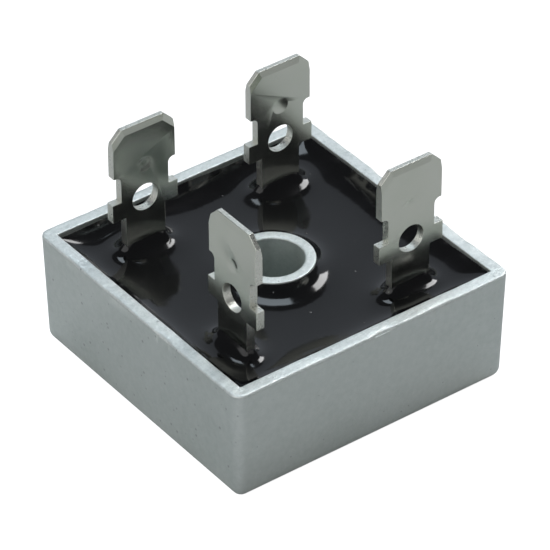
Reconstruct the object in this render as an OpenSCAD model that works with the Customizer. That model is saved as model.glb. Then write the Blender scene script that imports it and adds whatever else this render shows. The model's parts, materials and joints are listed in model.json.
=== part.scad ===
// Square bridge rectifier in a metal case, with four push-on tabs and a central screw hole.
//
// A cold-formed aluminium cup, with a tube for the screw rising from its floor, holds four
// rectifier dice. Each die is soldered between the flat feet of two stamped terminals, so the four
// terminals and four dice form a closed ring. Black resin seals them in and creeps up whatever
// stands in it. The tab that stands across the other three marks the positive terminal.
//
// Millimetres. The origin is the middle of the case's underside, with +Z up.

/* [Case] */
// Side of the square case at its rim
case_side = 28.6; // [27:0.1:34]
// Height of the case, from its underside to its rim
case_height = 11.1; // [9.5:0.1:15]
// Thickness of the case's wall at the rim
case_wall = 1.2; // [0.8:0.05:1.6]
// Thickness of the case's floor
case_floor = 2; // [1.2:0.1:3]
// How far each side leans in, from the rim to the underside
case_lean = 0.24; // [0:0.02:0.4]
// Radius of the case's upright outer corners
corner_radius = 0.9; // [0.4:0.05:2]
// Radius of the rounded edge round the underside
foot_radius = 1; // [0.3:0.05:1.5]

/* [Screw tube] */
// Diameter of the hole for the screw
bore_diameter = 5.5; // [4.2:0.1:6]
// Thickness of the tube's wall
tube_wall = 0.95; // [0.6:0.05:1.2]
// How far the tube's mouth lies below the rim
tube_drop = 0.5; // [0:0.05:0.8]

/* [Terminals] */
// Thickness of the sheet that the terminals are stamped from
sheet = 0.8; // [0.5:0.05:1]
// Width of a tab's head
head_width = 6.35; // [5.8:0.05:6.6]
// Height of a tab's head, from its neck to its tip
head_height = 4.6; // [3:0.1:6]
// Size of the cut-off corners at a tab's tip
tip_chamfer = 1; // [0.4:0.05:1.6]
// Length of the bevel that is pressed on both faces along the tip
tip_bevel = 0.55; // [0.2:0.05:0.9]
// Depth of that bevel on each face
tip_bevel_depth = 0.18; // [0.05:0.01:0.22]
// Width of the neck between the head and the shoulders
neck_width = 4.9; // [4.2:0.05:5.4]
// Height of the neck
neck_height = 2.6; // [1.8:0.1:3.6]
// Radius where the neck runs into the head
neck_radius = 0.5; // [0.1:0.05:0.6]
// Width across the shoulders
shoulder_width = 6.75; // [6.4:0.05:7.4]
// Height of the shoulders
shoulder_height = 1.8; // [1:0.1:2.2]
// How far the shoulders' top stands above the rim
shoulder_rise = 4.2; // [3:0.1:6]
// Width of the stem below the shoulders
stem_width = 4.05; // [3:0.05:4.8]
// Diameter of the wire hole in each tab
eye_diameter = 2.6; // [1.5:0.1:3]
// How far the wire hole's centre lies below the shoulders' top
eye_drop = 0.4; // [0:0.1:0.6]
// Diameter of the shallow dimple on both faces of each head
dimple_diameter = 1.6; // [0.8:0.1:2]
// Depth of the dimple
dimple_depth = 0.1; // [0.05:0.01:0.15]
// How far the dimple's centre lies above the shoulders' top
dimple_rise = 3; // [2.6:0.1:3.6]
// Distance of each tab's plane from the side of the case behind it
tab_inset = 5.2; // [4.8:0.05:5.6]
// Distance of each tab's centre line from the side of the case beside it
tab_side_inset = 7.15; // [6.8:0.05:7.6]
// How far the three parallel tabs and their feet sit off that place, towards the right side
tab_shift = 0.2; // [0:0.05:0.25]
// Inner radius of the bend between stem and foot
bend_radius = 0.4; // [0.2:0.05:0.8]

/* [Dice] */
// Side of each square die
die_side = 4.8; // [3.4:0.1:5]
// Thickness of each die
die_thickness = 0.3; // [0.2:0.05:0.5]
// Distance of each die's centre from the side of the case next to it
die_inset = 5.9; // [5.5:0.05:6.1]
// Thickness of each solder joint
solder_thickness = 0.12; // [0.05:0.01:0.2]
// How far each solder joint stays inside the edge of its die
solder_inset = 0.2; // [0.1:0.05:0.5]
// How far a foot's pad reaches past the edge of its die
pad_margin = 0.3; // [0.1:0.05:0.5]

/* [Insulation] */
// Thickness of the ceramic plate under the terminals' feet
plate_thickness = 0.6; // [0.4:0.05:1]
// Gap between the plate's edges and the case
plate_gap = 0.4; // [0.2:0.05:0.8]
// Thickness of the film of glue under the plate
glue_thickness = 0.15; // [0.05:0.01:0.3]
// How far the glue stays inside the plate's edges
glue_inset = 0.3; // [0.1:0.05:0.6]

/* [Resin] */
// How far the resin's level surface lies below the rim
resin_drop = 1.7; // [1.3:0.1:2.2]
// Strip of wall that the creeping resin leaves bare under the rim
rim_bare = 0.2; // [0.1:0.05:0.4]
// How far from the walls the resin starts to climb
wall_reach = 2.8; // [1.5:0.1:3.2]
// Strip of tube that the resin leaves bare under the tube's mouth
tube_bare = 0.15; // [0.05:0.05:0.3]
// How far from the tube the resin starts to climb
tube_reach = 2; // [1:0.1:2.4]
// How high the resin climbs up each stem
stem_climb = 1.2; // [0.5:0.1:1.6]
// How far from each stem the resin starts to climb
stem_reach = 1.9; // [0.8:0.1:2.2]

/* [Hidden] */

$fn = 64;
CORNER_FN = 32;     // fineness of the case's rounded corners
FOOT_STEPS = 6;     // slices that round the case's lower edge
SLICE = 0.01;       // thickness of one such slice
LEAST_RADIUS = 0.1; // smallest corner radius of a slice
CUT = 1;            // how far a cutting body runs past what it cuts
CREEP_ROOT = 0.5;   // how far a creeping edge is sunk into the resin below and the face beside it
CREEP_DIP = 0.01;   // how far its arc dips below the level, so that the two surfaces cross

// Turn about Z that brings a piece from the front side to each side
FRONT = 0;
RIGHT = 90;
BACK = 180;
LEFT = 270;

pocket_side = case_side - 2 * case_wall;
bore_radius = bore_diameter / 2;
tube_radius = bore_radius + tube_wall;
tube_top = case_height - tube_drop;
resin_level = case_height - resin_drop;

glue_top = case_floor + glue_thickness;
plate_top = glue_top + plate_thickness;
lower_die_solder = plate_top + sheet;
die_base = lower_die_solder + solder_thickness;
upper_die_solder = die_base + die_thickness;
upper_foot = upper_die_solder + solder_thickness;

// Distances from the case's middle
tab_offset = case_side / 2 - tab_inset;
tab_slide = case_side / 2 - tab_side_inset;
die_offset = case_side / 2 - die_inset;

shoulder_top = case_height + shoulder_rise;
pad_side = die_side + 2 * pad_margin;
foot_start = tab_offset - sheet / 2 - bend_radius;

// ---- Case ----

// Side of the case at a height above its underside
function side_at(height) = case_side - 2 * case_lean * (1 - height / case_height);

// Square with rounded corners, centred on the origin
module rounded_square(side, radius) {
    square([side, side - 2 * radius], center = true);
    square([side - 2 * radius, side], center = true);
    for (x = [-1, 1], y = [-1, 1])
        translate([x, y] * (side / 2 - radius)) circle(radius, $fn = CORNER_FN);
}

// One thin slice of the case's outside, with its edge drawn in by an inset
module case_slice(height, inset) {
    radius = max(corner_radius - inset, LEAST_RADIUS);
    translate([0, 0, height])
        linear_extrude(SLICE) rounded_square(side_at(height) - 2 * inset, radius);
}

// Outside of the case: leaning sides over a rounded lower edge
module case_outside() {
    hull() {
        case_slice(case_height - SLICE, 0);
        for (step = [0 : FOOT_STEPS]) {
            angle = 90 * step / FOOT_STEPS;
            case_slice(foot_radius * (1 - sin(angle)), foot_radius * (1 - cos(angle)));
        }
    }
}

// Square space inside the cup, from its floor to above the rim
module pocket() {
    translate([-pocket_side / 2, -pocket_side / 2, case_floor])
        cube([pocket_side, pocket_side, case_height]);
}

// Cup and tube, formed in one piece
module case() {
    color("#a9b3b1") difference() {
        union() {
            difference() {
                case_outside();
                pocket();
            }
            translate([0, 0, case_floor / 2])
                cylinder(r = tube_radius, h = tube_top - case_floor / 2);
        }
        translate([0, 0, -CUT]) cylinder(r = bore_radius, h = case_height + 2 * CUT);
    }
}

// ---- Insulating plate ----

// Square sheet that clears the walls and the tube by a gap
module lining(gap) {
    difference() {
        square(pocket_side - 2 * gap, center = true);
        circle(tube_radius + gap);
    }
}

// Film of heat-conducting glue that holds the plate to the case's floor
module plate_glue() {
    color("#e8e6df") translate([0, 0, case_floor])
        linear_extrude(glue_thickness) lining(plate_gap + glue_inset);
}

// Ceramic plate that keeps the terminals' feet apart from the case
module insulating_plate() {
    color("#f4f1ea") translate([0, 0, glue_top])
        linear_extrude(plate_thickness) lining(plate_gap);
}

// ---- Terminals ----

// Head of a tab, standing on the shoulders' line, with its two corners cut off
module head_outline() {
    half = head_width / 2;
    top = neck_height + head_height;
    polygon([
        [-half, 0], [half, 0], [half, top - tip_chamfer],
        [half - tip_chamfer, top], [tip_chamfer - half, top], [-half, top - tip_chamfer]
    ]);
}

// Notch beside the neck, open outwards, with a round inner corner under the head
module neck_notch() {
    translate([neck_width / 2, 0]) {
        square([shoulder_width, neck_height - neck_radius]);
        translate([neck_radius, 0]) square([shoulder_width, neck_height]);
        translate([neck_radius, neck_height - neck_radius]) circle(neck_radius);
    }
}

// Face of the whole blade, from a depth below the shoulders' top up to its tip
module blade_outline(depth) {
    difference() {
        union() {
            head_outline();
            translate([-shoulder_width / 2, -shoulder_height])
                square([shoulder_width, shoulder_height]);
            translate([-stem_width / 2, -depth]) square([stem_width, depth]);
        }
        neck_notch();
        mirror([1, 0]) neck_notch();
        translate([0, -eye_drop]) circle(d = eye_diameter);
    }
}

// Slab of the sheet's thickness whose upper edge, at a height, is bevelled on both faces
module bevelled_slab(edge) {
    reach = edge + shoulder_top;
    thin = sheet / 2 - tip_bevel_depth;
    rotate([90, 0, 90]) linear_extrude(4 * head_width, center = true) polygon([
        [-sheet / 2, -reach], [sheet / 2, -reach], [sheet / 2, edge - tip_bevel],
        [thin, edge], [-thin, edge], [-sheet / 2, edge - tip_bevel]
    ]);
}

// Blade standing in the XZ plane, its shoulders' top at z = 0, bevelled along its tip
module blade(depth) {
    top = neck_height + head_height;
    corner = (head_width / 2 + top - tip_chamfer) / sqrt(2);
    dimple_radius = (pow(dimple_diameter / 2, 2) + pow(dimple_depth, 2)) / (2 * dimple_depth);
    difference() {
        intersection() {
            rotate([90, 0, 0]) linear_extrude(2 * sheet, center = true) blade_outline(depth);
            bevelled_slab(top);
            rotate([0, 45, 0]) bevelled_slab(corner);
            rotate([0, -45, 0]) bevelled_slab(corner);
        }
        for (face = [-1, 1])
            translate([0, face * (sheet / 2 - dimple_depth + dimple_radius), dimple_rise])
                sphere(dimple_radius);
    }
}

// Plan of a foot: a pad under each of two neighbouring dice, joined round the corner.
// The foot is that of the terminal in the corner between the left and the front side.
module foot_plan() {
    inner = tab_slide - stem_width / 2;
    outer = tab_slide + stem_width / 2;
    translate([-die_offset, 0]) square(pad_side, center = true);
    translate([0, -die_offset]) square(pad_side, center = true);
    translate([-foot_start, -outer]) square([foot_start, stem_width]);
    translate([-foot_start, -outer]) square([foot_start - inner, outer]);
}

// Quarter bend that carries the stem over into the foot below it
module bend() {
    rotate([90, 0, 0]) linear_extrude(stem_width, center = true) difference() {
        circle(bend_radius + sheet);
        circle(bend_radius);
        translate([0, -2 * sheet]) square(4 * sheet + 4 * bend_radius);
        translate([-2 * (sheet + bend_radius), 0]) square(4 * (sheet + bend_radius));
    }
}

// Whole terminal for the corner between the left and the front side, its foot on a level
module terminal(level) {
    bend_top = level + sheet + bend_radius;
    color("#b9bdb6") union() {
        translate([-tab_offset, -tab_slide, shoulder_top])
            rotate([0, 0, 90]) blade(shoulder_top - bend_top);
        translate([-foot_start, -tab_slide, bend_top]) bend();
        translate([0, 0, level]) linear_extrude(sheet) foot_plan();
    }
}

// The positive terminal's tab stands across the other three
module terminal_plus() {
    terminal(plate_top);
}

module terminal_minus() {
    translate([tab_shift, 0, 0]) mirror([0, 1, 0]) rotate([0, 0, RIGHT]) terminal(plate_top);
}

module terminal_ac_left() {
    translate([tab_shift, 0, 0]) rotate([0, 0, LEFT]) terminal(upper_foot);
}

module terminal_ac_right() {
    translate([tab_shift, 0, 0]) rotate([0, 0, RIGHT]) terminal(upper_foot);
}

// ---- Dice ----

// Square wafer piece of one rectifier, at the middle of one side
module die(turn) {
    color("#4a4e57") rotate([0, 0, turn]) translate([0, -die_offset, die_base])
        linear_extrude(die_thickness) square(die_side, center = true);
}

// Solder between a die and the foot under or over it
module solder(turn, level) {
    color("#c9ccd0") rotate([0, 0, turn]) translate([0, -die_offset, level])
        linear_extrude(solder_thickness) square(die_side - 2 * solder_inset, center = true);
}

// ---- Resin ----

// Section of resin that creeps up a face at x = 0, hollow, and runs out level at x = reach.
// It starts a depth behind the face, so that the face itself trims it.
module creep_section(reach, climb, depth) {
    arc_radius = (pow(reach, 2) + pow(climb, 2)) / (2 * climb);
    difference() {
        translate([-depth, -CREEP_ROOT]) square([reach + depth, climb + CREEP_ROOT]);
        translate([reach, arc_radius - CREEP_DIP]) circle(arc_radius, $fn = 4 * $fn);
    }
}

// Creeping edge along a straight face that lies on the Y axis, centred on it
module straight_creep(length, reach, climb) {
    rotate([90, 0, 0])
        linear_extrude(length, center = true) creep_section(reach, climb, CREEP_ROOT);
}

// Creeping edge round a rectangular post, with the post's own space filled
module post_creep(width, depth) {
    for (side = [0, 180]) rotate([0, 0, side]) {
        translate([width / 2, 0, 0]) straight_creep(depth, stem_reach, stem_climb);
        rotate([0, 0, 90]) translate([depth / 2, 0, 0])
            straight_creep(width, stem_reach, stem_climb);
        translate([width / 2, depth / 2, 0])
            rotate_extrude(angle = 90) creep_section(stem_reach, stem_climb, 0);
        translate([-width / 2, depth / 2, 0]) rotate([0, 0, 90])
            rotate_extrude(angle = 90) creep_section(stem_reach, stem_climb, 0);
    }
}

// Surface of the resin over a solid block: level in the open, climbing whatever stands in it
module resin_block() {
    block_side = pocket_side + 2 * CREEP_ROOT;
    translate([-block_side / 2, -block_side / 2, 0])
        cube([block_side, block_side, resin_level]);
    translate([0, 0, resin_level]) {
        for (turn = [FRONT, RIGHT, BACK, LEFT]) rotate([0, 0, turn])
            translate([-pocket_side / 2, 0, 0])
                straight_creep(block_side, wall_reach, resin_drop - rim_bare);
        rotate_extrude() translate([tube_radius, 0])
            creep_section(tube_reach, resin_drop - tube_drop - tube_bare, CREEP_ROOT);
        for (side = [-1, 1]) translate([side * tab_slide + tab_shift, tab_offset, 0])
            post_creep(stem_width, sheet);
        translate([tab_slide + tab_shift, -tab_offset, 0]) post_creep(stem_width, sheet);
        translate([-tab_offset, -tab_slide, 0]) post_creep(sheet, stem_width);
    }
}

// Resin that fills the cup round everything inside it
module resin() {
    color("#17181b") difference() {
        intersection() {
            resin_block();
            pocket();
        }
        translate([0, 0, case_floor - CUT]) cylinder(r = tube_radius, h = case_height + 2 * CUT);
        plate_glue();
        insulating_plate();
        terminal_plus();
        terminal_minus();
        terminal_ac_left();
        terminal_ac_right();
        for (turn = [FRONT, RIGHT, BACK, LEFT]) {
            solder(turn, lower_die_solder);
            die(turn);
            solder(turn, upper_die_solder);
        }
    }
}

case();
plate_glue();
insulating_plate();
terminal_plus();
terminal_minus();
terminal_ac_left();
terminal_ac_right();
die(FRONT);  // die_front
die(RIGHT);  // die_right
die(BACK);  // die_back
die(LEFT);  // die_left
solder(FRONT, lower_die_solder);  // solder_front_lower
solder(RIGHT, lower_die_solder);  // solder_right_lower
solder(BACK, lower_die_solder);  // solder_back_lower
solder(LEFT, lower_die_solder);  // solder_left_lower
solder(FRONT, upper_die_solder);  // solder_front_upper
solder(RIGHT, upper_die_solder);  // solder_right_upper
solder(BACK, upper_die_solder);  // solder_back_upper
solder(LEFT, upper_die_solder);  // solder_left_upper
resin();
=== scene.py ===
# %% [markdown]
# # Dressing a bridge rectifier
#
# The CAD frame already has every piece in its right size and place. This lesson gives it looks:
# a formed aluminium cup with a rough rim, resin that crept up everything that stood in it while it
# was liquid, and four stamped, tin-plated tabs. Each step says what a piece is like in the hand,
# which ways there are to make it, and why this one is used.

# %% Load the frame
import json
import math

import bmesh
import bpy
import numpy as np
from mathutils import Matrix, Vector


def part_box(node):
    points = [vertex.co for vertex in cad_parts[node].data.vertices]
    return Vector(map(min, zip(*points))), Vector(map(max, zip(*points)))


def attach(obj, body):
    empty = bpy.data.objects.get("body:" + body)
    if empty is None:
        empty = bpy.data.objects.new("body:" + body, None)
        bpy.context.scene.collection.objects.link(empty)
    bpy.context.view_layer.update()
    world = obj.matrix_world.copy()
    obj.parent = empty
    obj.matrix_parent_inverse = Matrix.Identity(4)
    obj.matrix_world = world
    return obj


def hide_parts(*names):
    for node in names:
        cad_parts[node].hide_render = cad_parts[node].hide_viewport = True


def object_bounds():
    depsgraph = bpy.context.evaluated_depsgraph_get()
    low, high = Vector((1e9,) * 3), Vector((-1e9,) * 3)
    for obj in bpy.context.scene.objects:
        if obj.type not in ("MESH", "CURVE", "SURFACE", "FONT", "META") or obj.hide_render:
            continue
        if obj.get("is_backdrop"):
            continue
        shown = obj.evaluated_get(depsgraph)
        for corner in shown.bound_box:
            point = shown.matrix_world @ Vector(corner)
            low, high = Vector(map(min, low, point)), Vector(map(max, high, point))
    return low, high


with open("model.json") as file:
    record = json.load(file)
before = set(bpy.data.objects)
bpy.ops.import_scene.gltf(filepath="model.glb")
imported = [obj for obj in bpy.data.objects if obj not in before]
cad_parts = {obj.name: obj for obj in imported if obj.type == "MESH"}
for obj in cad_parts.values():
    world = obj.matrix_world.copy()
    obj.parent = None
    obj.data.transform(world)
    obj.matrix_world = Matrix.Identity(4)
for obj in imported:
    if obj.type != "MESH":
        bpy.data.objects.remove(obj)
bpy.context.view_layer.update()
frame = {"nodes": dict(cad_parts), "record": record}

MM = 0.001
rng = np.random.default_rng(11)
mounts = {mount["name"]: mount for mount in frame["record"]["mounts"]}

# %% [markdown]
# ## Measure before modelling
#
# Nothing is placed by eye. The boxes of the CAD nodes give the outer sizes, and the list of mounts
# gives the screw hole. What a box can't tell, such as the thickness of the cup's wall, follows from
# a neighbour: the resin fills the cup from wall to wall, so its box is the width of the pocket.
# The rest is read off the points of the CAD meshes, such as how far out the tube's mouth reaches.

# %% Sizes taken from the frame
NEAR = 0.01 * MM
case_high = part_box("case")[1]
resin_low, resin_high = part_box("resin")
case_half = case_high.x
case_top = case_high.z
pocket_half = resin_high.x
pocket_floor = resin_low.z
wall = case_half - pocket_half
bore_radius = mounts["screw_hole"]["dims"]["r_mm"] * MM
tube_top = mounts["screw_hole"]["dims"]["length_mm"] * MM


def mesh_points(node):
    """Every point of a CAD node, as rows of x, y and z."""
    mesh = frame["nodes"][node].data
    points = np.zeros(len(mesh.vertices) * 3)
    mesh.vertices.foreach_get("co", points)
    return points.reshape(-1, 3)


case_points = mesh_points("case")
mouth = case_points[np.abs(case_points[:, 2] - tube_top) < NEAR]
tube_radius = np.hypot(mouth[:, 0], mouth[:, 1]).max()
print(f"case {2 * case_half / MM:.2f} wide, {case_top / MM:.2f} high, wall {wall / MM:.2f} mm")
print(f"tube radius {tube_radius / MM:.2f}, bore radius {bore_radius / MM:.2f} mm")

# %% [markdown]
# ## A small toolbox
#
# Most pieces here start as numbers in an array, because a formed or poured surface is easier to
# describe than to sculpt. One helper turns arrays into a mesh object. Another draws smooth random
# wander along a closed line: random knots joined by cosine steps, the way a hand would wobble.

# %% Helpers for meshes
def mesh_object(name, points, faces):
    """A smooth-shaded mesh object from rows of points and rows of corner numbers."""
    mesh = bpy.data.meshes.new(name)
    mesh.from_pydata(points.tolist(), [], faces.tolist())
    mesh.polygons.foreach_set("use_smooth", [True] * len(mesh.polygons))
    thing = bpy.data.objects.new(name, mesh)
    bpy.context.scene.collection.objects.link(thing)
    return thing


def wander(count, knots, amount):
    """Smooth random values, one for each of count places round a closed line."""
    values = rng.uniform(-1, 1, knots)
    place = np.arange(count) * knots / count
    first = place.astype(int)
    blend = (1 - np.cos(np.pi * (place - first))) / 2
    return amount * (values[first] * (1 - blend) + values[(first + 1) % knots] * blend)


def paint(mesh, name, values, domain="POINT"):
    """Keeps a number for each point or face, for a material to read."""
    mesh.attributes.new(name, "FLOAT", domain).data.foreach_set("value", values)


# %% [markdown]
# ## The cup
#
# The case is one piece of aluminium, pushed into shape cold: a cup with leaning walls, and a tube
# for the screw that rises from its floor. A copy of the CAD solid would have razor-sharp edges, and
# a bevel can't be ragged. So the cup is lofted from closed rings of points that walk once round its
# section: under the base, round the foot, up the wall, over the rim, down into the pocket, up the
# tube, over its mouth and down the bore. Every ring has the same number of points, so each joins
# the next with plain quads.
#
# The outside is read off the CAD mesh level by level. In a square with rounded corners, the point
# at 45 degrees tells the corner's radius.

# %% Rings of the cup
STRAIGHT = 150          # points along each side of a ring
CORNER = 12             # points round each corner
RING = 4 * (STRAIGHT + CORNER)
SHARP_CORNER = 0.12 * MM


def square_ring(half, radius, z):
    """Points round a square with rounded corners."""
    inner = half - radius
    along = np.linspace(-inner, inner, STRAIGHT, endpoint=False)
    arc = np.linspace(0, math.pi / 2, CORNER, endpoint=False)
    x = np.concatenate([np.full(STRAIGHT, half), inner + radius * np.cos(arc)])
    y = np.concatenate([along, inner + radius * np.sin(arc)])
    quarters = [(x, y), (-y, x), (-x, -y), (y, -x)]
    flat = np.concatenate([np.stack(q, 1) for q in quarters])
    return np.column_stack([flat, np.full(RING, z)])


PLAN_CORNER = 0.9 * MM    # near the cup's own corner, to tell where each place on a ring lies
ring_plan = square_ring(case_half, PLAN_CORNER, 0)
ring_angle = np.arctan2(ring_plan[:, 1], ring_plan[:, 0])


def round_ring(radius, z):
    """Points round a circle, each in the same direction as its partner on the square."""
    return np.column_stack(
        [radius * np.cos(ring_angle), radius * np.sin(ring_angle), np.full(RING, z)])


outside = []
for level in np.unique(np.round(case_points[:, 2] / MM, 2)) * MM:
    here = case_points[np.abs(case_points[:, 2] - level) < NEAR / 2]
    half = here[:, 0].max()
    if half > pocket_half + NEAR or level == 0:
        corner_reach = (here[:, 0] + here[:, 1]).max()
        outside.append((level, half, (2 * half - corner_reach) / (2 - math.sqrt(2))))
heights, halves, radii = np.array(outside).T
print("levels read off the outside:", len(heights), "corner radius", round(radii[-1] / MM, 2), "mm")


def outside_ring(z):
    """Ring on the case's outside at a height."""
    return square_ring(np.interp(z, heights, halves), np.interp(z, heights, radii), z)


# %% [markdown]
# A trimmed rim is never true. Its level wanders by a few hundredths of a millimetre, its outer
# edge is ragged, and handling leaves flattened spots and nicks. All of that is a number for each
# place round the rim, added to the rings that cross it. The rim starts a little low, so that the
# small burrs that stand up from it still end inside the CAD box.

# %% The ragged rim
RIM_LOW = 0.05 * MM      # how far the worn rim lies below the CAD rim
EDGE_OUT = 0.13 * MM     # rounding of the rim's outer edge
EDGE_IN = 0.08 * MM      # rounding of its inner edge
# Knocks on the rim: place (x, y), half length, depth, all in millimetres
KNOCKS = [
    (-14.3, 2.4, 1.5, 0.07), (-14.3, -4.0, 0.5, 0.09), (-14.3, 9.4, 0.4, 0.06),
    (0.7, -14.3, 0.35, 0.14), (6.8, -14.3, 0.9, 0.07), (-6.2, -14.3, 0.5, 0.05),
    (14.3, 3.3, 0.5, 0.10), (14.3, -7.5, 1.1, 0.06), (-3.9, 14.3, 0.7, 0.09), (9.2, 14.3, 0.4, 0.08),
]
# Burrs that stand up along the pocket's edge: place (x, y), half length, height
BURRS = [(-13.2, 6.1, 0.25, 0.10), (13.2, -1.8, 0.3, 0.06), (4.6, 13.2, 0.35, 0.05)]


def bumps_round(rows):
    """Sum of soft bumps round a ring, each at its place and with its own length and height."""
    total = np.zeros(RING)
    for x, y, length, height in rows:
        away = np.hypot(ring_plan[:, 0] - x * MM, ring_plan[:, 1] - y * MM)
        total += height * MM * np.exp(-np.maximum(away - wall / 2, 0) ** 2 / (length * MM) ** 2)
    return total


knocks = bumps_round(KNOCKS)
burrs = bumps_round(BURRS)
rim_level = RIM_LOW + wander(RING, 40, 0.02 * MM) + wander(RING, 220, 0.012 * MM)
ragged = np.abs(wander(RING, 240, 0.035 * MM)) + np.abs(wander(RING, 90, 0.03 * MM))


def crossing_rings(make, width, edge_a, edge_b, steps=6):
    """Rings over the top of a wall: rounded edge, flat, rounded edge.

    make(inward, below) returns the ring at a distance in from the first face and below the top."""
    rings = []
    for angle in np.linspace(0, math.pi / 2, 5):
        rings.append(make(edge_a * (1 - math.cos(angle)), edge_a * (1 - math.sin(angle))))
    for inward in np.linspace(edge_a, width - edge_b, steps + 2)[1:-1]:
        rings.append(make(inward, 0))
    for angle in np.linspace(math.pi / 2, 0, 4):
        rings.append(make(width - edge_b * (1 - math.cos(angle)), edge_b * (1 - math.sin(angle))))
    return rings


def rim_ring(inward, below):
    """One ring over the rim, with its share of the wander, knocks and burrs."""
    share = inward / wall
    radius = (1 - share) * radii[-1] + share * SHARP_CORNER
    ring = square_ring(case_half - inward, radius, 0)
    outer = max(0, 1 - inward / (0.5 * wall)) ** 2
    drop = below + rim_level + outer * (knocks + 0.5 * ragged) - share ** 3 * burrs
    ring[:, 2] = case_top - np.maximum(drop, 0)
    shrink = 1 - outer * (0.7 * knocks + 0.35 * ragged) / case_half
    ring[:, :2] *= shrink[:, None]
    return ring


mouth_wander = wander(RING, 24, 0.01 * MM) + 0.02 * MM


def mouth_ring(outward, below):
    """One ring over the mouth of the tube, counted from the tube's outer face."""
    ring = round_ring(tube_radius - outward, 0)
    ring[:, 2] = tube_top - below - mouth_wander
    return ring


# %% [markdown]
# Now the rings are listed in order and joined. Each ring also gets a number for wear: high on the
# rim and the tube's mouth, where metal is bright and bruised, low elsewhere. The material reads it
# later, so that wear sits where the shape says and not where a texture happens to fall.

# %% Loft the cup
MOUTH_OUT = 0.09 * MM    # rounding of the mouth's outer edge
MOUTH_IN = 0.12 * MM     # rounding of its inner edge
foot_levels = heights[heights < 0.2 * case_top]
foot = [outside_ring(z) for z in foot_levels]
wall_levels = np.linspace(foot_levels[-1], case_top - 0.3 * MM, 10)[1:]
side_rings = [outside_ring(z) for z in wall_levels]
rim_rings = crossing_rings(rim_ring, wall, EDGE_OUT, EDGE_IN)
inner_levels = np.linspace(case_top - 0.4 * MM, pocket_floor, 6)
pocket_rings = [square_ring(pocket_half, SHARP_CORNER, z) for z in inner_levels]
tube_levels = np.linspace(pocket_floor, tube_top - 0.25 * MM, 5)
tube_rings = [round_ring(tube_radius, z) for z in tube_levels]
tube_wall = tube_radius - bore_radius
mouth_rings = crossing_rings(mouth_ring, tube_wall, MOUTH_OUT, MOUTH_IN, 4)
bore_levels = np.linspace(tube_top - 0.3 * MM, 0.15 * MM, 6)
bore_rings = [round_ring(bore_radius, z) for z in bore_levels]
bore_rings.append(round_ring(bore_radius + 0.05 * MM, 0.04 * MM))
bore_rings.append(round_ring(bore_radius + 0.15 * MM, 0))

sections = [
    (foot, 0.15), (side_rings, 0.0), (rim_rings, 1.0), (pocket_rings, 0.3),
    (tube_rings, 0.2), (mouth_rings, 1.0), (bore_rings, 0.3),
]
rings = [ring for section, _ in sections for ring in section]
wear = np.concatenate([np.full(RING, value) for section, value in sections for _ in section])
around = np.arange(RING)
ahead = (around + 1) % RING
quads = []
for number in range(len(rings)):
    here, after = number * RING, ((number + 1) % len(rings)) * RING
    quads.append(np.stack([here + around, here + ahead, after + ahead, after + around], 1))
cup = mesh_object("Cup", np.concatenate(rings), np.concatenate(quads))
# The outer vertical corners get a share of the wear number, which lightens them. This is partly handling
# wear and partly a painted highlight along each corner.
corner_wear_and_highlight = 0.35 * np.clip(1 - np.abs(np.abs(ring_plan[:, 0]) - np.abs(ring_plan[:, 1])) / MM, 0, 1)
wear = np.maximum(wear, np.tile(corner_wear_and_highlight, len(rings)))
paint(cup.data, "wear", wear)
cup.data.set_sharp_from_angle(angle=math.radians(55))
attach(cup, "root")
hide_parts("case")
print("cup:", len(rings), "rings,", len(cup.data.polygons), "quads")

# %% [markdown]
# ## The resin
#
# Liquid resin wets metal, so it climbs whatever stands in it and sets that way. Near a wall its
# surface is a hollow curve, and between two walls the curves add up without a crease. Extruded
# fillets would meet in creases. The surface is instead computed the way nature finds it: on a fine
# grid, every free point settles to the mean of its neighbours, pulled a little towards the level,
# while points on metal are held at the height that the resin reached there.
#
# The pull is set by one length, a little over 1 mm for such a resin: over that distance the climb
# falls to a third. Points inside a post are held at heights that carry the same curve on inwards,
# so that the curve leaves the true face and not the nearest grid point. Once the surface has
# settled, those heights are cut off at the climb, so that no resin stands above the tube's mouth.

# %% Where the resin clings
SPACING = 0.1 * MM
CREEP_LENGTH = 1.15 * MM
resin_points = mesh_points("resin")
OPEN_LIFT = 0.06 * MM    # what the tails of all the curves add up to in the open
resin_level = resin_points[resin_points[:, 2] > (pocket_floor + case_top) / 2, 2].min() - OPEN_LIFT
wall_climb = resin_high.z - resin_level
beside_tube = np.hypot(resin_points[:, 0], resin_points[:, 1]) < tube_radius + NEAR
tube_climb = resin_points[beside_tube, 2].max() - resin_level

TABS = ["terminal_plus", "terminal_minus", "terminal_ac_left", "terminal_ac_right"]
stems = {}
for tab in TABS:
    low = mesh_points(tab)
    low = low[low[:, 2] < resin_level]
    top_end = low[low[:, 2] > low[:, 2].max() - NEAR]
    stems[tab] = (top_end.min(0)[:2], top_end.max(0)[:2])
low, high = stems["terminal_plus"]
at_stem = np.all((resin_points[:, :2] > low - NEAR) & (resin_points[:, :2] < high + NEAR), 1)
stem_climb = resin_points[at_stem, 2].max() - resin_level
print(f"level {resin_level / MM:.2f}; climbs {wall_climb / MM:.2f} at walls, "
      f"{tube_climb / MM:.2f} at the tube, {stem_climb / MM:.2f} mm at stems")

# %% Let the surface settle
cells = round(2 * pocket_half / SPACING)
line = np.linspace(-pocket_half, pocket_half, cells + 1)
grid_x, grid_y = np.meshgrid(line, line, indexing="ij")
lift = np.zeros_like(grid_x)
held = np.zeros(grid_x.shape, bool)


def hold(inside_depth, climb):
    """Holds the points that lie inside a post, at the height that its curve would have there."""
    inside = inside_depth >= 0
    lift[inside] = (climb * np.exp(inside_depth / CREEP_LENGTH))[inside]
    held[inside] = True


hold(tube_radius - np.hypot(grid_x, grid_y), tube_climb)
for low, high in stems.values():
    depth = np.minimum.reduce([grid_x - low[0], high[0] - grid_x, grid_y - low[1], high[1] - grid_y])
    hold(depth, stem_climb)
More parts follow.
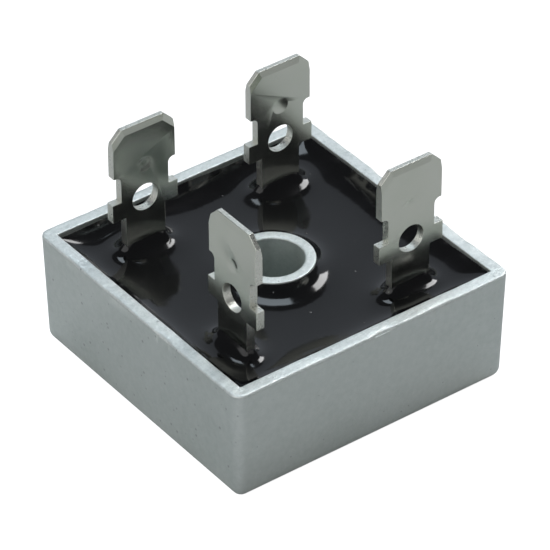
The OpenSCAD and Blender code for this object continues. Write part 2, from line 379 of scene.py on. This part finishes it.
# Along the walls the resin's edge wanders: long waves and short ones, as shares of the full climb
edge_climb = wall_climb * (0.86 + wander(4 * cells, 26, 0.10) + wander(4 * cells, 90, 0.03))
for number, edge in enumerate([lift[0, :], lift[:, -1], lift[-1, ::-1], lift[::-1, 0]]):
    start = number * cells
    edge[:] = np.take(edge_climb, np.arange(start, start + cells + 1), mode="wrap")
held[0, :] = held[-1, :] = held[:, 0] = held[:, -1] = True

PULL = (SPACING / CREEP_LENGTH) ** 2
OVERSHOOT = 1.92         # each sweep goes past the mean, so that the surface settles sooner
SWEEPS = 360
checker = np.indices(lift.shape).sum(0) % 2
middle = (slice(1, -1), slice(1, -1))
turns = [(~held & (checker == colour))[middle] for colour in (0, 1)]
for sweep in range(SWEEPS):
    for free in turns:
        mean = (lift[:-2, 1:-1] + lift[2:, 1:-1] + lift[1:-1, :-2] + lift[1:-1, 2:]) / (4 + PULL)
        inner = lift[middle]
        inner[free] += OVERSHOOT * (mean - inner)[free]
lift = np.minimum(lift, np.where(grid_x ** 2 + grid_y ** 2 < tube_radius ** 2, tube_climb, wall_climb))
print(f"lift in the open: {np.percentile(lift, 5) / MM:.3f} to {lift.max() / MM:.3f} mm")

# %% [markdown]
# The settled heights become the top of a closed body. The grid runs on through the posts, where
# nothing shows, but it needs a true hole for the bore: cells inside the middle of the tube's wall
# are left out. The open edges are then pulled down to the pocket's floor and filled in below.
# A faint swell over the whole surface keeps large reflections from being dead straight.

# %% Build the resin's body
SWELL = 0.004 * MM
swell = SWELL * (np.sin(grid_x / (2.3 * MM) + 1.3) * np.sin(grid_y / (3.1 * MM))
                 + np.sin(grid_x / (4.9 * MM)) * np.sin(grid_y / (1.9 * MM) + 0.7))
top = resin_level + lift + swell
hole = np.hypot(grid_x, grid_y) < (bore_radius + tube_radius) / 2
number = np.arange(top.size).reshape(top.shape)
corners = np.stack([number[:-1, :-1], number[1:, :-1], number[1:, 1:], number[:-1, 1:]], -1)
open_cell = hole[:-1, :-1] & hole[1:, :-1] & hole[1:, 1:] & hole[:-1, 1:]
points = np.column_stack([grid_x.ravel(), grid_y.ravel(), np.minimum(top, case_top).ravel()])
poured = mesh_object("PouredResin", points, corners[~open_cell])

body = bmesh.new()
body.from_mesh(poured.data)
bmesh.ops.delete(body, geom=[v for v in body.verts if not v.link_faces], context="VERTS")
rim_edges = [e for e in body.edges if e.is_boundary]
skirt = bmesh.ops.extrude_edge_only(body, edges=rim_edges)["geom"]
for vertex in [g for g in skirt if isinstance(g, bmesh.types.BMVert)]:
    vertex.co.z = pocket_floor
bmesh.ops.triangle_fill(body, edges=[g for g in skirt if isinstance(g, bmesh.types.BMEdge)])
bmesh.ops.recalc_face_normals(body, faces=body.faces)
body.to_mesh(poured.data)
print("resin:", len(body.faces), "faces, open edges:", sum(e.is_boundary for e in body.edges))
body.free()
poured.data.set_sharp_from_angle(angle=math.radians(60))
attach(poured, "root")
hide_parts("resin")

# %% [markdown]
# ## The tabs
#
# The terminals are stamped from sheet, coined along the tip and bent. Their CAD shape is already
# the real one, so here a copy is the right start. The copy is cleaned first: points that the file
# stores twice are merged, and flat faces that were cut into triangles are joined again, so that
# a bevel can round every edge by a few hundredths of a millimetre. Sharp edges catch no light and
# look drawn; rounded ones glint.
#
# A stamped edge is rougher than the rolled face. Each face is marked by which way it looks: across
# the sheet or along it.

# %% Copy and soften the terminals
BURNISH = 0.045 * MM
SAME_POINT = 0.002 * MM      # points closer than this are one point
CREASE = math.radians(12)    # a sharper turn than this is an edge
BEVEL_FROM = math.radians(30)
tab_pieces = []
for tab in TABS:
    body = bmesh.new()
    body.from_mesh(frame["nodes"][tab].data)
    bmesh.ops.remove_doubles(body, verts=body.verts, dist=SAME_POINT)
    bmesh.ops.dissolve_limit(
        body, angle_limit=math.radians(0.6), verts=body.verts, edges=body.edges)
    mesh = bpy.data.meshes.new(tab)
    body.to_mesh(mesh)
    body.free()
    low, high = stems[tab]
    across = 0 if high[0] - low[0] < high[1] - low[1] else 1
    sheared = [1.0 - abs(face.normal[across]) ** 0.5 for face in mesh.polygons]
    paint(mesh, "wear", [value if value > 0.4 else 0.0 for value in sheared], "FACE")
    mesh.polygons.foreach_set("use_smooth", [True] * len(mesh.polygons))
    mesh.set_sharp_from_angle(angle=CREASE)
    name = "Tab" + tab.replace("terminal", "").title().replace("_", "")
    piece = bpy.data.objects.new(name, mesh)
    bpy.context.scene.collection.objects.link(piece)
    soften = piece.modifiers.new("Burnished edges", "BEVEL")
    soften.width = BURNISH
    soften.segments = 2
    soften.limit_method = "ANGLE"
    soften.angle_limit = BEVEL_FROM
    soften.harden_normals = True
    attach(piece, "root")
    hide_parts(tab)
    tab_pieces.append(piece)
    print(name, len(mesh.polygons), "faces")

# %% [markdown]
# ## Writing materials
#
# A node tree is easier to read as a few lines than as a picture, once two helpers do the wiring.
# The first adds a node and fills or links its inputs. The second starts a node group with named
# inputs and outputs. Effects that several materials share are built once as such groups, and each
# group gives back a mask, a value or a height, never a finished surface.

# %% Helpers for node trees
def add(tree, kind, values=None, **settings):
    """A new node, its settings, and its inputs by name or number: a socket is linked."""
    node = tree.nodes.new("ShaderNode" + kind)
    for key, value in settings.items():
        setattr(node, key, value)
    for key, value in (values or {}).items():
        if isinstance(value, bpy.types.NodeSocket):
            tree.links.new(value, node.inputs[key])
        else:
            node.inputs[key].default_value = value
    return node


def maths(tree, operation, *values, clamp=False):
    """The result of one sum, as a socket."""
    return add(tree, "Math", dict(enumerate(values)), operation=operation, use_clamp=clamp).outputs[0]


def start_group(name, inputs, outputs):
    """An empty node group. Inputs are {name: default}, outputs are names of values."""
    tree = bpy.data.node_groups.new(name, "ShaderNodeTree")
    for label, default in inputs.items():
        kind = "NodeSocketFloat" if isinstance(default, (int, float)) else "NodeSocketVector"
        tree.interface.new_socket(label, in_out="INPUT", socket_type=kind).default_value = default
    for label in outputs:
        tree.interface.new_socket(label, in_out="OUTPUT", socket_type="NodeSocketFloat")
    return tree, tree.nodes.new("NodeGroupInput").outputs, tree.nodes.new("NodeGroupOutput").inputs


def in_millimetres(tree):
    """Coordinates on the object, in millimetres."""
    place = add(tree, "TexCoord").outputs["Object"]
    return add(tree, "VectorMath", {0: place, 1: (1 / MM,) * 3}, operation="MULTIPLY").outputs[0]


def use(tree, group, **values):
    """A group put to use in a material; its sockets by name."""
    node = tree.nodes.new("ShaderNodeGroup")
    node.node_tree = group
    for key, value in values.items():
        socket = node.inputs[key.replace("_", " ")]
        if isinstance(value, bpy.types.NodeSocket):
            tree.links.new(value, socket)
        else:
            socket.default_value = value
    return node.outputs


# %% [markdown]
# Five effects cover this part. "Clouds" are broad soft patches, for handling marks and uneven
# finish. "Grain" is the fine relief of matt metal or ceramic. "Flecks" are sparse little spots,
# for dust and pits. "Lines" are the streaks that rolling or sawing leaves. "Bruises" break up the
# wear that the shapes carry, so that a worn edge is patchy.

# %% Shared effects
clouds, given, result = start_group("Clouds", {"Size": 5.0, "Detail": 3.0, "Contrast": 1.0}, ["Value"])
noise = add(clouds, "TexNoise", {
    "Vector": in_millimetres(clouds), "Scale": maths(clouds, "DIVIDE", 1.0, given["Size"]),
    "Detail": given["Detail"], "Roughness": 0.55}).outputs[0]
spread = maths(clouds, "MULTIPLY", maths(clouds, "SUBTRACT", noise, 0.5), given["Contrast"])
clouds.links.new(maths(clouds, "MULTIPLY_ADD", spread, 2.5, 0.5, clamp=True), result["Value"])

grain, given, result = start_group("Grain", {"Size": 0.1, "Unevenness": 0.5}, ["Height"])
fine = add(grain, "TexNoise", {
    "Vector": in_millimetres(grain), "Scale": maths(grain, "DIVIDE", 1.0, given["Size"]),
    "Detail": 4.0, "Roughness": 0.65}).outputs[0]
coarse = add(grain, "TexNoise", {
    "Vector": in_millimetres(grain), "Scale": maths(grain, "DIVIDE", 0.22, given["Size"]),
    "Detail": 2.0, "Roughness": 0.5}).outputs[0]
grain.links.new(maths(grain, "MULTIPLY_ADD", coarse, given["Unevenness"], fine), result["Height"])

flecks, given, result = start_group("Flecks", {"Spacing": 1.0, "Size": 0.1, "Share": 0.5}, ["Mask"])
cell = add(flecks, "TexVoronoi", {
    "Vector": in_millimetres(flecks),
    "Scale": maths(flecks, "DIVIDE", 1.0, given["Spacing"])})
chance = add(flecks, "SeparateColor", {0: cell.outputs["Color"]})
present = maths(flecks, "LESS_THAN", chance.outputs[0], given["Share"])
own_size = maths(flecks, "MULTIPLY", given["Size"], maths(flecks, "ADD", chance.outputs[1], 0.3))
relative_size = maths(flecks, "DIVIDE", own_size, given["Spacing"])
reach = maths(flecks, "DIVIDE", cell.outputs["Distance"], relative_size)
spot = maths(flecks, "SUBTRACT", 1.6, reach, clamp=True)
flecks.links.new(maths(flecks, "MULTIPLY", spot, present), result["Mask"])

lines, given, result = start_group("Lines", {"Stretch": (1.0, 1.0, 1.0), "Size": 0.1}, ["Height"])
stretched = add(
    lines, "VectorMath", {0: in_millimetres(lines), 1: given["Stretch"]}, operation="MULTIPLY")
streak = add(lines, "TexNoise", {
    "Vector": stretched.outputs[0], "Scale": maths(lines, "DIVIDE", 1.0, given["Size"]),
    "Detail": 3.0, "Roughness": 0.6}).outputs[0]
lines.links.new(streak, result["Height"])

bruises, given, result = start_group("Bruises", {"Edge": 0.0, "Size": 0.3, "Amount": 1.0}, ["Mask"])
patch = add(bruises, "TexNoise", {
    "Vector": in_millimetres(bruises), "Scale": maths(bruises, "DIVIDE", 1.0, given["Size"]),
    "Detail": 5.0, "Roughness": 0.7}).outputs[0]
broken = add(bruises, "MapRange", {0: patch, 1: 0.35, 2: 0.6, 3: 0.25, 4: 1.0}).outputs[0]
worn = maths(bruises, "MULTIPLY", given["Edge"], broken)
bruises.links.new(
    maths(bruises, "MULTIPLY", worn, given["Amount"], clamp=True), result["Mask"])
print("shared effects:", [group.name for group in bpy.data.node_groups])


# %% [markdown]
# Every material starts the same way: a Principled surface, and a few shorthand steps to mix two
# colours by a mask, to spread a mask over a range of roughness, and to turn a height into a bump.

# %% Helpers for surfaces
def start_material(name):
    """A material with an empty Principled surface. Returns its tree and that node."""
    material = bpy.data.materials.new(name)
    material.use_nodes = True
    tree = material.node_tree
    return material, tree, tree.nodes["Principled BSDF"]


def blend(tree, mask, plain, marked):
    """One colour, or another where the mask says so."""
    node = add(tree, "Mix", data_type="RGBA")
    for socket, value in ((node.inputs[0], mask), (node.inputs[6], plain), (node.inputs[7], marked)):
        if isinstance(value, bpy.types.NodeSocket):
            tree.links.new(value, socket)
        else:
            socket.default_value = (*value, 1.0) if isinstance(value, tuple) else value
    return node.outputs[2]


def between(tree, mask, low, high):
    """A value that runs from low to high with the mask."""
    return add(tree, "MapRange", {0: mask, 3: low, 4: high}).outputs[0]


def bump(tree, height, depth, before=None):
    """Relief of a depth in metres, on top of another relief if there is one."""
    values = {"Strength": 1.0, "Distance": depth, "Height": height}
    if before is not None:
        values["Normal"] = before
    return add(tree, "Bump", values).outputs[0]


def finish_surface(tree, surface, colour, roughness, normal):
    tree.links.new(colour, surface.inputs["Base Color"])
    tree.links.new(roughness, surface.inputs["Roughness"])
    tree.links.new(normal, surface.inputs["Normal"])


# %% [markdown]
# ## Formed aluminium
#
# The case left its die with a fine matt skin and was tumbled, so its walls are silver-grey and almost
# without reflections. Where the rim was trimmed the metal is fresh: brighter, coarser and dented. The
# wear that the loft carries blends the two. On the outer corners that brightening is partly a painted
# highlight.

# %% Aluminium
aluminium, tree, surface = start_material("Formed aluminium")
wear_and_highlight_here = add(tree, "Attribute", attribute_name="wear").outputs["Fac"]
skin = use(tree, clouds, Size=6.0, Detail=4.0, Contrast=0.8)["Value"]
fine_skin = use(tree, clouds, Size=0.5, Detail=5.0, Contrast=0.9)["Value"]
fresh_metal_and_highlight = use(tree, bruises, Edge=wear_and_highlight_here, Size=0.35, Amount=1.0)["Mask"]
pits = use(tree, flecks, Spacing=0.9, Size=0.09, Share=0.5)["Mask"]
colour = blend(tree, skin, (0.66, 0.72, 0.69), (0.72, 0.77, 0.75))
colour = blend(tree, maths(tree, "MULTIPLY", fine_skin, 0.5), colour, (0.82, 0.86, 0.84))
# Rim wear mixes in a brighter colour. On the outer corners this brighter colour is partly a painted
# highlight.
colour = blend(tree, fresh_metal_and_highlight, colour, (0.92, 0.96, 0.94))
colour = blend(tree, maths(tree, "MULTIPLY", pits, 0.5), colour, (0.30, 0.32, 0.33))
roughness = maths(tree, "SUBTRACT", between(tree, skin, 0.50, 0.60), maths(tree, "MULTIPLY", fresh_metal_and_highlight, 0.12))
relief = bump(tree, use(tree, grain, Size=0.11, Unevenness=0.8)["Height"], 0.016 * MM)
dents = use(tree, grain, Size=0.3, Unevenness=0.4)["Height"]
relief = bump(tree, maths(tree, "MULTIPLY", dents, wear_and_highlight_here), 0.05 * MM, relief)
surface.inputs["Metallic"].default_value = 1.0
finish_surface(tree, surface, colour, roughness, relief)
cup.data.materials.append(aluminium)

# %% [markdown]
# ## Poured resin
#
# Filled epoxy sets glossy and nearly black. What you see is mostly what it mirrors, so the colour
# does little and the roughness a lot: a faint haze that comes and goes, and dust that fell on it
# while it was still tacky.

# %% Resin
resin, tree, surface = start_material("Poured resin")
haze = use(tree, clouds, Size=3.5, Detail=4.0, Contrast=1.0)["Value"]
dust = use(tree, flecks, Spacing=1.3, Size=0.07, Share=0.3)["Mask"]
colour = blend(tree, haze, (0.0035, 0.0035, 0.0040), (0.006, 0.006, 0.007))
colour = blend(tree, maths(tree, "MULTIPLY", dust, 0.35), colour, (0.35, 0.34, 0.33))
roughness = maths(tree, "MULTIPLY_ADD", dust, 0.3, between(tree, haze, 0.06, 0.13))
relief = bump(tree, use(tree, clouds, Size=1.2, Detail=2.0, Contrast=0.6)["Value"], 0.004 * MM)
relief = bump(tree, dust, 0.02 * MM, relief)
surface.inputs["IOR"].default_value = 1.52
finish_surface(tree, surface, colour, roughness, relief)
poured.data.materials.append(resin)

# %% [markdown]
# ## Tin plate
#
# The tabs are brass or copper with a thin, half-bright coat of tin. Rolled faces mirror softly and
# show faint streaks and finger marks. Sheared edges are bright and torn.

# %% Tin
tin, tree, surface = start_material("Tin plate")
torn_here = add(tree, "Attribute", attribute_name="wear").outputs["Fac"]
marks = use(tree, clouds, Size=2.2, Detail=4.0, Contrast=0.9)["Value"]
streaks = use(tree, lines, Stretch=(1.0, 1.0, 0.12), Size=0.25)["Height"]
torn = use(tree, bruises, Edge=torn_here, Size=0.2, Amount=1.0)["Mask"]
pits = use(tree, flecks, Spacing=1.1, Size=0.06, Share=0.35)["Mask"]
colour = blend(tree, marks, (0.72, 0.75, 0.66), (0.78, 0.80, 0.72))
colour = blend(tree, torn, colour, (0.88, 0.88, 0.82))
colour = blend(tree, maths(tree, "MULTIPLY", pits, 0.5), colour, (0.30, 0.29, 0.25))
roughness = maths(tree, "MULTIPLY_ADD", torn, 0.15, between(tree, marks, 0.16, 0.26))
relief = bump(tree, streaks, 0.0012 * MM)
torn_grain = use(tree, grain, Size=0.16, Unevenness=0.5)["Height"]
relief = bump(tree, maths(tree, "MULTIPLY", torn_grain, torn_here), 0.03 * MM, relief)
surface.inputs["Metallic"].default_value = 1.0
finish_surface(tree, surface, colour, roughness, relief)
for piece in tab_pieces:
    piece.data.materials.append(tin)

# %% [markdown]
# ## What the resin hides
#
# Under the resin lie a ceramic plate, the glue that holds it, four silicon dice and their solder.
# They keep their CAD shapes, which are right as they are, and get finishes of their own, so that
# a section or an opened part looks true.

# %% Hidden pieces
alumina, tree, surface = start_material("Fired alumina")
body_tone = use(tree, clouds, Size=4.0, Detail=3.0, Contrast=0.6)["Value"]
specks = use(tree, flecks, Spacing=0.8, Size=0.05, Share=0.2)["Mask"]
colour = blend(tree, body_tone, (0.84, 0.82, 0.77), (0.90, 0.89, 0.85))
colour = blend(tree, maths(tree, "MULTIPLY", specks, 0.6), colour, (0.45, 0.40, 0.33))
relief = bump(tree, use(tree, grain, Size=0.06, Unevenness=0.3)["Height"], 0.006 * MM)
finish_surface(tree, surface, colour, between(tree, body_tone, 0.55, 0.7), relief)

glue, tree, surface = start_material("Filled glue")
lumps = use(tree, clouds, Size=0.6, Detail=4.0, Contrast=1.0)["Value"]
colour = blend(tree, lumps, (0.70, 0.69, 0.64), (0.82, 0.81, 0.77))
relief = bump(tree, use(tree, grain, Size=0.12, Unevenness=1.0)["Height"], 0.03 * MM)
finish_surface(tree, surface, colour, between(tree, lumps, 0.45, 0.7), relief)

silicon, tree, surface = start_material("Metallised silicon")
sawn = use(tree, lines, Stretch=(0.1, 1.0, 1.0), Size=0.05)["Height"]
tarnish = use(tree, clouds, Size=1.5, Detail=3.0, Contrast=1.0)["Value"]
colour = blend(tree, tarnish, (0.20, 0.21, 0.24), (0.34, 0.34, 0.36))
surface.inputs["Metallic"].default_value = 0.8
finish_surface(tree, surface, colour, between(tree, sawn, 0.25, 0.5), bump(tree, sawn, 0.003 * MM))

solder, tree, surface = start_material("Reflowed solder")
crystals = use(tree, clouds, Size=0.4, Detail=5.0, Contrast=1.0)["Value"]
colour = blend(tree, crystals, (0.62, 0.63, 0.65), (0.76, 0.77, 0.78))
surface.inputs["Metallic"].default_value = 1.0
relief = bump(tree, use(tree, grain, Size=0.15, Unevenness=1.0)["Height"], 0.01 * MM)
finish_surface(tree, surface, colour, between(tree, crystals, 0.22, 0.42), relief)

hidden = {"insulating_plate": alumina, "plate_glue": glue}
for name in frame["nodes"]:
    if name.startswith("die_"):
        hidden[name] = silicon
    elif name.startswith("solder_"):
        hidden[name] = solder
for name, material in hidden.items():
    mesh = frame["nodes"][name].data
    mesh.materials.clear()
    mesh.materials.append(material)
print("hidden pieces finished:", len(hidden))

# %% [markdown]
# ## The studio
#
# A pale floor, an almost dark room and five soft lamps. Metal and gloss need something to mirror,
# and in an even grey room they look like painted plaster. The compact lamp on the right makes the
# bright spots beside the stems and the tube, the cool window overhead draws the bands in front of
# them, and the back wall is the grey that the level resin mirrors. The two panels light the walls
# of the cup. The floor shines for the camera alone, so that it reads as white paper without
# washing out what the metal mirrors.

# %% Floor and room
FLOOR_HALF = 1.5
FLOOR_GAP = 0.02 * MM    # keeps the floor from flickering through the case's underside
floor = mesh_object("Floor", np.array([
    [-FLOOR_HALF, -FLOOR_HALF, 0], [FLOOR_HALF, -FLOOR_HALF, 0],
    [FLOOR_HALF, FLOOR_HALF, 0], [-FLOOR_HALF, FLOOR_HALF, 0]]), np.array([[0, 1, 2, 3]]))
floor.location.z = -FLOOR_GAP
paper, tree, surface = start_material("White paper")
to_camera = add(tree, "LightPath").outputs["Is Camera Ray"]
fibre = use(tree, clouds, Size=0.8, Detail=4.0, Contrast=0.3)["Value"]
tree.links.new(blend(tree, fibre, (0.60, 0.60, 0.60), (0.62, 0.62, 0.62)), surface.inputs["Base Color"])
surface.inputs["Roughness"].default_value = 0.9
surface.inputs["Specular IOR Level"].default_value = 0.0
surface.inputs["Emission Color"].default_value = (1, 1, 1, 1)
tree.links.new(maths(tree, "MULTIPLY", to_camera, 0.9), surface.inputs["Emission Strength"])
from_below = add(tree, "NewGeometry").outputs["Backfacing"]
see_through = add(tree, "MixShader", {
    0: from_below, 1: surface.outputs[0], 2: add(tree, "BsdfTransparent").outputs[0]})
tree.links.new(see_through.outputs[0], tree.nodes["Material Output"].inputs["Surface"])
floor.data.materials.append(paper)
floor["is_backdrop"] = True

room = bpy.data.worlds.new("Room")
room.use_nodes = True
room.node_tree.nodes["Background"].inputs["Color"].default_value = (0.92, 0.96, 1.0, 1)
room.node_tree.nodes["Background"].inputs["Strength"].default_value = 0.10
bpy.context.scene.world = room


# %% Lamps
def lamp(name, azimuth, elevation, spread, radiance, colour=(1, 1, 1), distance=0.7):
    """A soft rectangular lamp that looks at the part, placed by angles in degrees.

    Azimuth counts from +X to +Y. The spread is its width and height as seen from the part, and
    the radiance is how bright it looks there in a perfect mirror."""
    width, height = (2 * distance * math.tan(math.radians(angle / 2)) for angle in spread)
    data = bpy.data.lights.new(name, "AREA")
    data.shape = "RECTANGLE"
    data.size, data.size_y = width, height
    data.energy = radiance * math.pi * width * height
    data.color = colour
    thing = bpy.data.objects.new(name, data)
    turn, tilt = math.radians(azimuth), math.radians(elevation)
    towards = Vector((math.cos(turn) * math.cos(tilt), math.sin(turn) * math.cos(tilt), math.sin(tilt)))
    thing.location = towards * distance
    thing.rotation_mode = "QUATERNION"
    thing.rotation_quaternion = towards.to_track_quat("Z", "Y")
    thing.visible_camera = False
    bpy.context.scene.collection.objects.link(thing)


lamp("Right lamp", 12, 44, (16, 20), 9.0)
lamp("Overhead window", 68, 69, (26, 18), 3.6, (0.80, 0.91, 1.0))
lamp("Back wall", 55, 27, (100, 44), 0.42, (0.82, 0.90, 1.0))
lamp("Left panel", 190, 28, (90, 50), 1.0)
lamp("Front panel", -80, 20, (70, 30), 0.45)

# %% [markdown]
# ## The camera
#
# A long lens from a little over a third of a metre looks down on the part. The camera is placed
# from the part's own box: a direction, a distance, and a small step sideways and down so that the
# part sits in the frame as wanted.

# %% Camera
AZIMUTH, ELEVATION, ROLL = (math.radians(a) for a in (-36.70, 36.88, -0.15))
DISTANCE = 367.2 * MM
STEP_RIGHT, STEP_UP = 0.19 * MM, -2.06 * MM
low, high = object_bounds()
back = Vector((math.sin(AZIMUTH) * math.cos(ELEVATION),
               -math.cos(AZIMUTH) * math.cos(ELEVATION), math.sin(ELEVATION)))
right = (-back).cross(Vector((0, 0, 1))).normalized()
up = right.cross(-back)
right, up = (math.cos(ROLL) * right + math.sin(ROLL) * up, math.cos(ROLL) * up - math.sin(ROLL) * right)
camera = bpy.data.objects.new("Camera", bpy.data.cameras.new("Camera"))
camera.data.sensor_width = 36
camera.data.lens = 284
camera.data.clip_start = 0.05
place = (low + high) / 2 + back * DISTANCE + right * STEP_RIGHT + up * STEP_UP
camera.matrix_world = Matrix.Translation(place) @ Matrix((right, up, back)).transposed().to_4x4()
bpy.context.scene.collection.objects.link(camera)
bpy.context.scene.camera = camera
bpy.context.scene.view_settings.view_transform = "Standard"
